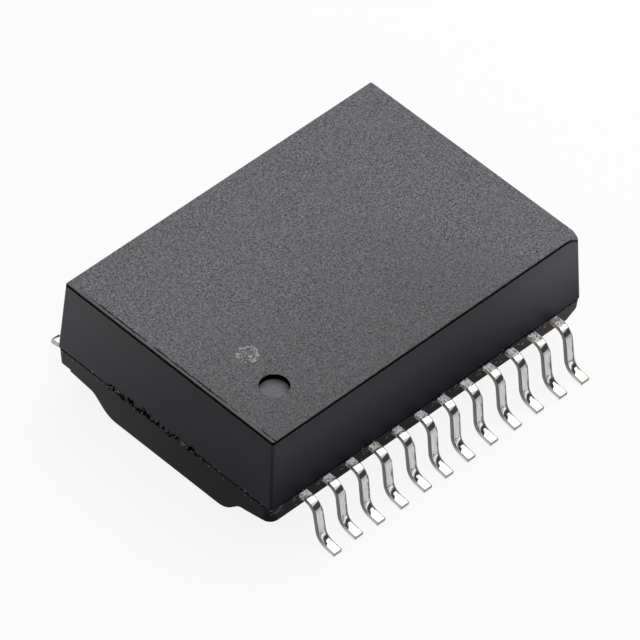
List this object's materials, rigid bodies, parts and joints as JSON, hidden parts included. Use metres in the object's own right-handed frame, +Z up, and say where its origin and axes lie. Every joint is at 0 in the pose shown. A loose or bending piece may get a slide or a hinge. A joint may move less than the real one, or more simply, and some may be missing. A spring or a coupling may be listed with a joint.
{
  "type": "lan transformer",
  "caption": "Black epoxy block for surface mounting, with gull-wing leads along both long sides and wound ferrite transformer and choke cores inside, for network ports.",
  "frame": {"origin": "on the solder plane, under the middle of the body", "axes": "+X along the lead rows, away from the index dimple; +Y towards the line row; +Z up from the board"},
  "size_m": [0.0172, 0.0162, 0.0059],
  "materials": {
    "black_epoxy": "matte, fine-grained top",
    "tinned_lead": "bright tin, slightly scratched",
    "ferrite": "matt sintered",
    "copper_enamel_red": "clear red enamel over copper",
    "copper_enamel_green": "clear green enamel over copper",
    "solder": "bright solder"
  },
  "bodies": {
    "root": {"moulded_body": "black_epoxy", "solder_joints": "solder", "chip_lead_1": "tinned_lead", "chip_lead_2": "tinned_lead", "chip_lead_3": "tinned_lead", "chip_lead_4": "tinned_lead", "chip_lead_5": "tinned_lead", "chip_lead_6": "tinned_lead", "chip_lead_7": "tinned_lead", "chip_lead_8": "tinned_lead", "chip_lead_9": "tinned_lead", "chip_lead_10": "tinned_lead", "chip_lead_11": "tinned_lead", "chip_lead_12": "tinned_lead", "line_lead_1": "tinned_lead", "line_lead_2": "tinned_lead", "line_lead_3": "tinned_lead", "line_lead_4": "tinned_lead", "line_lead_5": "tinned_lead", "line_lead_6": "tinned_lead", "line_lead_7": "tinned_lead", "line_lead_8": "tinned_lead", "line_lead_9": "tinned_lead", "line_lead_10": "tinned_lead", "line_lead_11": "tinned_lead", "line_lead_12": "tinned_lead", "transformer_core_1": "ferrite", "transformer_core_2": "ferrite", "transformer_core_3": "ferrite", "transformer_core_4": "ferrite", "choke_core_1": "ferrite", "choke_core_2": "ferrite", "choke_core_3": "ferrite", "choke_core_4": "ferrite", "chip_winding_1": "copper_enamel_red", "chip_winding_2": "copper_enamel_red", "chip_winding_3": "copper_enamel_red", "chip_winding_4": "copper_enamel_red", "line_winding_1": "copper_enamel_green", "line_winding_2": "copper_enamel_green", "line_winding_3": "copper_enamel_green", "line_winding_4": "copper_enamel_green"}
  },
  "joints": []
}
